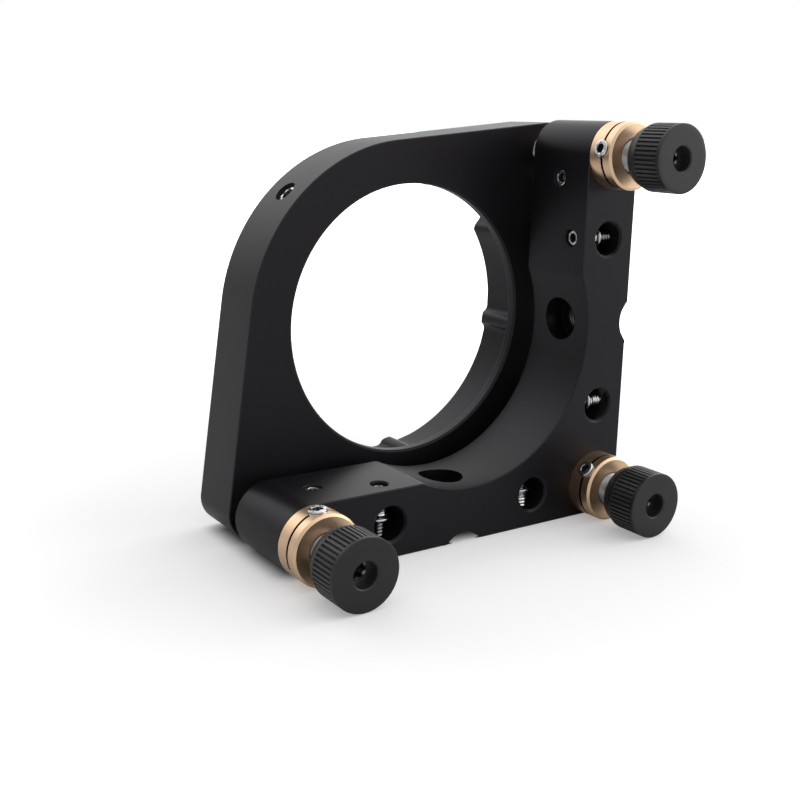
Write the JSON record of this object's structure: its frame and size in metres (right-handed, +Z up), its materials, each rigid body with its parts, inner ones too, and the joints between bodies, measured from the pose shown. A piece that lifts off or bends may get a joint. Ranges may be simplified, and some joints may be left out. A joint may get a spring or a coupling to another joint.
{
  "type": "kinematic mirror mount",
  "caption": "Black kinematic optic mount: L-shaped back plate with fine knob adjusters, spring-loaded front plate with a round optic bore and clamping screw.",
  "frame": {"origin": "on the optical axis, at the face of the lip that the optic seats against", "axes": "+X right and +Z up as seen from the knob side, +Y along the optical axis towards the front plate's open face"},
  "size_m": [0.073, 0.0458, 0.073],
  "materials": {
    "black_anodised": "black anodised, fine satin grain",
    "knob_black": "black anodised, turned and fluted",
    "bronze": "turned phosphor bronze, satin",
    "stainless": "turned stainless steel",
    "hardened_steel": "hardened and polished steel",
    "spring_steel": "drawn spring wire",
    "nylon": "natural nylon"
  },
  "bodies": {
    "base": {"back_plate": "black_anodised", "bushing_tr": "bronze", "bushing_br": "bronze", "bushing_bl": "bronze", "bushing_set_screws": "stainless", "rear_spring_pins": "stainless", "spring_side_upper": "spring_steel", "spring_base_left": "spring_steel"},
    "lift_tr": {"spring_base_right": "spring_steel"},
    "lift_bl": {"spring_side_lower": "spring_steel"},
    "front": {"front_plate": "black_anodised", "flat_seat": "hardened_steel", "cone_seat": "hardened_steel", "groove_seat": "hardened_steel", "front_spring_pins": "stainless"},
    "optic_tip": {"optic_screw_tip": "nylon"},
    "optic_screw": {"optic_screw": "stainless"},
    "ball_tr": {"ball_tip_tr": "hardened_steel"},
    "adjuster_tr": {"adjuster_screw_tr": "stainless", "knob_tr": "knob_black"},
    "lock_tr": {"lock_screw_tr": "stainless"},
    "ball_br": {"ball_tip_br": "hardened_steel"},
    "adjuster_br": {"adjuster_screw_br": "stainless", "knob_br": "knob_black"},
    "lock_br": {"lock_screw_br": "stainless"},
    "ball_bl": {"ball_tip_bl": "hardened_steel"},
    "adjuster_bl": {"adjuster_screw_bl": "stainless", "knob_bl": "knob_black"},
    "lock_bl": {"lock_screw_bl": "stainless"}
  },
  "joints": [
    {"name": "adjuster_tr_advance", "type": "slide", "parent": "base", "child": "ball_tr", "axis": [0, 1, 0], "range_m": [-0.0025, 0.0029]},
    {"name": "adjuster_tr_turn", "type": "hinge", "parent": "ball_tr", "child": "adjuster_tr", "pos_m": [0.0305, -0.0036, 0.0305], "axis": [0, 1, 0], "range_deg": [-3600, 4176]},
    {"name": "lock_tr_turn", "type": "hinge", "parent": "base", "child": "lock_tr", "pos_m": [0.02559, -0.02295, 0.03145], "axis": [0.9816, 0, -0.1908], "range_deg": [-90, 90]},
    {"name": "adjuster_br_advance", "type": "slide", "parent": "base", "child": "ball_br", "axis": [0, 1, 0], "range_m": [-0.0025, 0.0029]},
    {"name": "adjuster_br_turn", "type": "hinge", "parent": "ball_br", "child": "adjuster_br", "pos_m": [0.0305, -0.0036, -0.0305], "axis": [0, 1, 0], "range_deg": [-3600, 4176]},
    {"name": "lock_br_turn", "type": "hinge", "parent": "base", "child": "lock_br", "pos_m": [0.02667, -0.02295, -0.02729], "axis": [0.766, 0, -0.6428], "range_deg": [-90, 90]},
    {"name": "adjuster_bl_advance", "type": "slide", "parent": "base", "child": "ball_bl", "axis": [0, 1, 0], "range_m": [-0.0025, 0.0029]},
    {"name": "adjuster_bl_turn", "type": "hinge", "parent": "ball_bl", "child": "adjuster_bl", "pos_m": [-0.0305, -0.0036, -0.0305], "axis": [0, 1, 0], "range_deg": [-3600, 4176]},
    {"name": "lock_bl_turn", "type": "hinge", "parent": "base", "child": "lock_bl", "pos_m": [-0.03102, -0.02295, -0.02553], "axis": [0.1045, 0, -0.9945], "range_deg": [-90, 90]},
    {"name": "front_lift_tr", "type": "hinge", "parent": "base", "child": "lift_tr", "pos_m": [0, -0.0036, -0.0305], "axis": [-1, 0, 0], "range_deg": [-2.35, 2.72], "deforming": ["spring_base_right", "spring_side_upper"]},
    {"name": "front_lift_bl", "type": "hinge", "parent": "lift_tr", "child": "lift_bl", "pos_m": [0.0305, -0.0036, 0], "axis": [0, 0, -1], "range_deg": [-2.35, 2.72], "deforming": ["spring_side_lower", "spring_base_left"]},
    {"name": "front_lift_br", "type": "hinge", "parent": "lift_bl", "child": "front", "pos_m": [0, -0.0036, 0], "axis": [0.7071, 0, 0.7071], "range_deg": [-3.32, 3.85]},
    {"name": "optic_tip_advance", "type": "slide", "parent": "front", "child": "optic_tip", "axis": [0.7071, 0, -0.7071], "range_m": [-0.0014, 0.0021]},
    {"name": "optic_screw_turn", "type": "hinge", "parent": "optic_tip", "child": "optic_screw", "pos_m": [-0.02051, 0.0039, 0.02051], "axis": [0.7071, 0, -0.7071], "range_deg": [-720, 1080]}
  ],
  "couplings": [
    {"joint": "adjuster_tr_turn", "follows": "adjuster_tr_advance", "rad_per_m": 25133},
    {"joint": "adjuster_br_turn", "follows": "adjuster_br_advance", "rad_per_m": 25133},
    {"joint": "adjuster_bl_turn", "follows": "adjuster_bl_advance", "rad_per_m": 25133},
    {"joint": "front_lift_tr", "follows": "adjuster_tr_advance", "rad_per_m": 16.393},
    {"joint": "front_lift_bl", "follows": "adjuster_bl_advance", "rad_per_m": 16.393},
    {"joint": "front_lift_br", "follows": "adjuster_br_advance", "rad_per_m": 23.184},
    {"joint": "optic_screw_turn", "follows": "optic_tip_advance", "rad_per_m": 8976}
  ]
}
